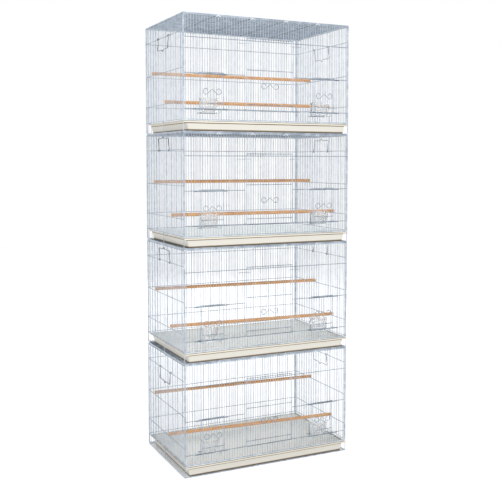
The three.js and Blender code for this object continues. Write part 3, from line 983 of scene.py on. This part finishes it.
# %% Tray
TRAY_CORNER = 5
TRAY_LEVELS = [
    Level(351.9, -224.7, 204.0, 3.8),
    Level(359.3, -227.2, 211.0, 40.7),
    Level(370.9, -230.0, 215.0, 40.7),
    Level(370.9, -230.0, 215.0, 43.0),
    Level(358.0, -225.6, 209.6, 43.0),
    Level(350.0, -222.6, 202.0, 5.8),
]
TRAY_SURFACES = (tray_outside, painted_light_tray_inside)
INSIDE = 1
HEM_HEIGHT = 8
HEM_THICKNESS = 2.8
HEM_SINK = 0.4  # its top lies this far below the lip's
HEM_ROUND = 0.7
TRAY_EDGE = 0.6
TRAY_CREASE = math.radians(35)  # edges sharper than this are softened


def hem(bm, floor):
    """The bar under the front of the lip."""
    lip = TRAY_LEVELS[3]
    low, high = floor + lip.height - HEM_HEIGHT, floor + lip.height - HEM_SINK
    bar = bmesh.ops.create_cube(bm, size=1)["verts"]
    bmesh.ops.scale(bm, vec=(2 * lip.half, HEM_THICKNESS, high - low), verts=bar)
    bmesh.ops.translate(bm, vec=(0, lip.front + HEM_THICKNESS / 2, (low + high) / 2), verts=bar)
    bmesh.ops.bevel(
        bm,
        geom=list({edge for vert in bar for edge in vert.link_edges}),
        offset=HEM_ROUND,
        offset_type="OFFSET",
        segments=2,
        profile=0.5,
        material=-1,
        affect="EDGES",
    )


def soften(piece, width):
    bevel = piece.modifiers.new("softened_edges", "BEVEL")
    bevel.width = width * MM
    bevel.segments = 2
    bevel.limit_method = "ANGLE"
    bevel.angle_limit = TRAY_CREASE


def tray(tier):
    node = f"tier_{tier}_tray"
    floor = floor_of(tier)
    bm = bmesh.new()
    edges = outline(bm, TRAY_LEVELS[0], floor, TRAY_CORNER)
    for previous, target in zip(TRAY_LEVELS, TRAY_LEVELS[1:]):
        outside = set(bm.faces)
        edges = grow(bm, edges, previous, target, floor)
    bmesh.ops.contextual_create(bm, geom=edges)
    for face in set(bm.faces) - outside:
        face.material_index = INSIDE
    bmesh.ops.recalc_face_normals(bm, faces=bm.faces)
    hem(bm, floor)
    soften(finish_piece(bm, f"{node}_pan", TRAY_SURFACES, body=node, node=node), TRAY_EDGE)


for tier in range(1, TIERS + 1):
    tray(tier)
print("tray has", len(made[-1].data.polygons), "faces")

# %% [markdown]
# ## The perches
#
# A perch is a plain dowel with a saw cut in each end, which clips over an upright of the end
# panel. It can be clipped in anywhere, and in these cages no two perches lie quite alike. The
# cut is made as on the bench: a blade as wide as the kerf is moved into the end, which is what
# a Boolean modifier does.

# %% Perches
PERCH_DIAMETER = 14
PERCH_SIDES = 32
PERCH_HALF = 374
PERCH_CHAMFER = 0.8
KERF = 4.6
KERF_DEPTH = 3.8
UPPER_PERCHES = [(138, 80.5), (115, 46), (126.5, 103.5), (138, 103.5)]  # y of left and right end
LOWER_PERCHES = [(-46, -103.5), (-69, -115), (-92, -115), (-23, -69)]


def sawn(bm, blade):
    """The first mesh with the second cut out of it."""
    objects = []
    for shape in (bm, blade):
        mesh = bpy.data.meshes.new("sawing")
        shape.to_mesh(mesh)
        shape.free()
        objects.append(bpy.data.objects.new("sawing", mesh))
        bpy.context.scene.collection.objects.link(objects[-1])
    dowel, saw = objects
    cut = dowel.modifiers.new("saw_cut", "BOOLEAN")
    cut.operation = "DIFFERENCE"
    cut.solver = "EXACT"
    cut.object = saw
    result = bmesh.new()
    result.from_object(dowel, bpy.context.evaluated_depsgraph_get())
    for item in objects:
        mesh = item.data
        bpy.data.objects.remove(item)
        bpy.data.meshes.remove(mesh)
    return result


def perch(tier, part, ends):
    node = f"tier_{tier}_{part}"
    low, high = box_of(tier, part)
    level = (low.z + high.z) / 2
    left, right = [Vector((side * PERCH_HALF, y, level)) for side, y in zip((-1, 1), ends)]
    run = right - left
    turned = run.to_track_quat("Z", "Y").to_matrix().to_4x4()
    bm = bmesh.new()
    bmesh.ops.create_cone(
        bm,
        cap_ends=True,
        segments=PERCH_SIDES,
        radius1=PERCH_DIAMETER / 2,
        radius2=PERCH_DIAMETER / 2,
        depth=run.length,
        matrix=Matrix.Translation((left + right) / 2) @ turned,
    )
    rims = {edge for face in bm.faces if len(face.verts) == PERCH_SIDES for edge in face.edges}
    bmesh.ops.bevel(
        bm,
        geom=list(rims),
        offset=PERCH_CHAMFER,
        offset_type="OFFSET",
        segments=2,
        profile=0.5,
        material=-1,
        affect="EDGES",
    )
    blade = bmesh.new()
    for place in (left, right):
        cut = bmesh.ops.create_cube(blade, size=1)["verts"]
        bmesh.ops.scale(blade, vec=(2 * KERF_DEPTH, KERF, 2 * PERCH_DIAMETER), verts=cut)
        bmesh.ops.translate(blade, vec=place, verts=cut)
    finish_piece(sawn(bm, blade), f"{node}_dowel", perch_material, node=node)


for tier in range(1, TIERS + 1):
    perch(tier, "upper_perch", UPPER_PERCHES[tier - 1])
    perch(tier, "lower_perch", LOWER_PERCHES[tier - 1])
print("perch has", len(made[-1].data.polygons), "faces")

# %% [markdown]
# ## Seed cups
#
# Behind each small door is a clear cup for seed or water. It is a thin moulded box that flares
# a little to the top, with a rolled rim. We grow its outline upward in steps as for the tray,
# leave it open, and let bmesh's solidify give the sheet its wall. It stands in a wire cradle
# whose floor loop hooks over the sill wire of the cage.

# %% Seed cups
CUP_CORNER = 6
CUP_LEVELS = [
    Level(27.5, -218.5, -170.0, 78.4),
    Level(29.0, -220.0, -168.5, 80.2),
    Level(32.5, -222.0, -166.0, 132.0),
    Level(33.8, -223.0, -165.0, 133.2),
    Level(33.8, -223.0, -165.0, 135.0),
]
CUP_WALL = 1.4


def seed_cup(tier, part, side):
    floor = floor_of(tier)
    bm = bmesh.new()
    edges = outline(bm, CUP_LEVELS[0], floor, CUP_CORNER)
    for previous, target in zip(CUP_LEVELS, CUP_LEVELS[1:]):
        edges = grow(bm, edges, previous, target, floor)
    bmesh.ops.recalc_face_normals(bm, faces=bm.faces)
    bmesh.ops.solidify(bm, geom=bm.faces[:], thickness=CUP_WALL)
    bmesh.ops.translate(bm, vec=(side * FEEDER_MIDDLE, 0, 0), verts=bm.verts)
    return finish_piece(bm, f"tier_{tier}_{part}_cup", cup_material)


print("a cup widens from", 2 * CUP_LEVELS[0].half, "to", 2 * CUP_LEVELS[-1].half, "mm")

# %% Cup cradles
CRADLE_HALF = 38
CRADLE_LEVEL = 76.3
CRADLE_BAR = 3.0
BAR_DEPTH = -166
# a side of the floor loop from its back end, over the sill wire: y and height
CRADLE_HOOK = [(-163, CRADLE_LEVEL), (-225.55, CRADLE_LEVEL), (-225.55, SILL + 2.8), (-229.15, SILL + 2.8)]
# an arm up the side of the cup, bent back over its rim: in from the loop, y and height
CRADLE_ARM = [(0, -190, CRADLE_LEVEL), (0, -190, 118), (1.5, -190, 128), (3, -194, 131), (3, -199, 128)]


def cup_cradle(tier, part, side):
    middle, floor = side * FEEDER_MIDDLE, floor_of(tier)
    bm = bmesh.new()
    for end in (-1, 1):
        x = middle + end * CRADLE_HALF
        hook = [(x, y, floor + z) for y, z in CRADLE_HOOK]
        bent_wire(bm, rounded(hook, 2), UPRIGHT)
        arm = [(x - end * inward, y, floor + z) for inward, y, z in CRADLE_ARM]
        bent_wire(bm, rounded(arm, 3), UPRIGHT, finish=DARK)
    reach = CRADLE_HALF + UPRIGHT / 2
    bar = [(middle + end * reach, BAR_DEPTH, floor + CRADLE_LEVEL) for end in (-1, 1)]
    straight_wire(bm, *bar, CRADLE_BAR, DARK)
    chamfer_ends(bm)
    return finish_piece(bm, f"tier_{tier}_{part}_cup_cradle", PANEL_WIRE)


for tier in range(1, TIERS + 1):
    for part, side in (("left", -1), ("right", 1)):
        seed_cup(tier, part, side)
        cup_cradle(tier, part, side)
print("cup has", len(made[-2].data.polygons), "faces")

# %% [markdown]
# ## Floor, light and background
#
# The picture is a cut-out on white with hardly a shadow. The floor is a wide white sheet that
# keeps the stack's soft contact shadow. The world is white where the camera, a reflection or a
# look through clear plastic meets it, and softer as a light, so the cream of the trays doesn't
# wash out. One large lamp high in front makes the fronts a little brighter than the ends. A
# second one fills in from the left, and one behind lights the floors of the cages, which the
# roofs shade from above, and puts a bright line on the edge of each wire.

# %% Floor
FLOOR_HALF = 9.0  # the stage is in metres
FLOOR_DROP = 0.0005
FLOOR_LIFT = 0.42


def seen_directly(tree):
    """1 where the camera, a reflection or a look through clear plastic meets it, and else 0."""
    rays = add_node(tree, "ShaderNodeLightPath").outputs
    direct = add_node(tree, "ShaderNodeMath", {"operation": "MAXIMUM"})
    tree.links.new(rays["Is Camera Ray"], direct.inputs[0])
    tree.links.new(rays["Is Glossy Ray"], direct.inputs[1])
    seen = add_node(tree, "ShaderNodeMath", {"operation": "MAXIMUM"})
    tree.links.new(direct.outputs["Value"], seen.inputs[0])
    tree.links.new(rays["Is Transmission Ray"], seen.inputs[1])
    return seen.outputs["Value"]


def make_floor_material():
    material, tree = new_material("matt_white_studio_floor")
    lift = add_node(tree, "ShaderNodeMapRange", Value=seen_directly(tree), To_Max=FLOOR_LIFT)
    glow = add_node(tree, "ShaderNodeEmission", Color=(1.0, 1.0, 1.0, 1.0), Strength=lift.outputs["Result"])
    sheet = add_node(tree, "ShaderNodeBsdfDiffuse", Color=colour("E9E9E9"))
    both = add_node(tree, "ShaderNodeAddShader")
    tree.links.new(sheet.outputs["BSDF"], both.inputs[0])
    tree.links.new(glow.outputs["Emission"], both.inputs[1])
    add_node(tree, "ShaderNodeOutputMaterial", Surface=both.outputs["Shader"])
    return material


bm = bmesh.new()
bmesh.ops.create_grid(bm, x_segments=1, y_segments=1, size=FLOOR_HALF)
floor_mesh = bpy.data.meshes.new("studio_floor")
bm.to_mesh(floor_mesh)
bm.free()
floor_mesh.materials.append(make_floor_material())
studio_floor = bpy.data.objects.new("studio_floor", floor_mesh)
studio_floor.location.z = -FLOOR_DROP
bpy.context.scene.collection.objects.link(studio_floor)
print("floor is", 2 * FLOOR_HALF, "m wide")

# %% Lamps
AIM = Vector((0, 0, 0.95))


def area_light(name, place, size, power):
    data = bpy.data.lights.new(name, "AREA")
    data.shape = "SQUARE"
    data.size = size
    data.energy = power
    light = bpy.data.objects.new(name, data)
    light.location = place
    light.rotation_euler = (AIM - light.location).to_track_quat("-Z", "Y").to_euler()
    light.visible_transmission = False  # else a clear cup shows the lamp as a white patch
    bpy.context.scene.collection.objects.link(light)


area_light("soft_key", (-0.2, -4.4, 3.5), 2.6, 84)
area_light("low_fill", (-3.6, -3.2, 0.9), 2.0, 26)
area_light("back_light", (0.5, 4.3, 3.0), 3.4, 80)
print("lamps", [light.name for light in bpy.data.lights])

# %% World
WORLD_LIGHT = 0.76

world = bpy.data.worlds.new("white_studio")
bpy.context.scene.world = world
world.use_nodes = True
air = world.node_tree
air.nodes.clear()
strength = add_node(air, "ShaderNodeMapRange", Value=seen_directly(air), To_Min=WORLD_LIGHT, To_Max=1.0)
white = strength.outputs["Result"]
sky = add_node(air, "ShaderNodeBackground", Color=(1.0, 1.0, 1.0, 1.0), Strength=white)
add_node(air, "ShaderNodeOutputWorld", Surface=sky.outputs["Background"])
bpy.context.scene.view_settings.view_transform = "Standard"
print("world lights at", WORLD_LIGHT)

# %% [markdown]
# ## Count the pieces
#

# %% Pieces and faces
print("pieces", len(made), "faces", sum(len(piece.data.polygons) for piece in made))
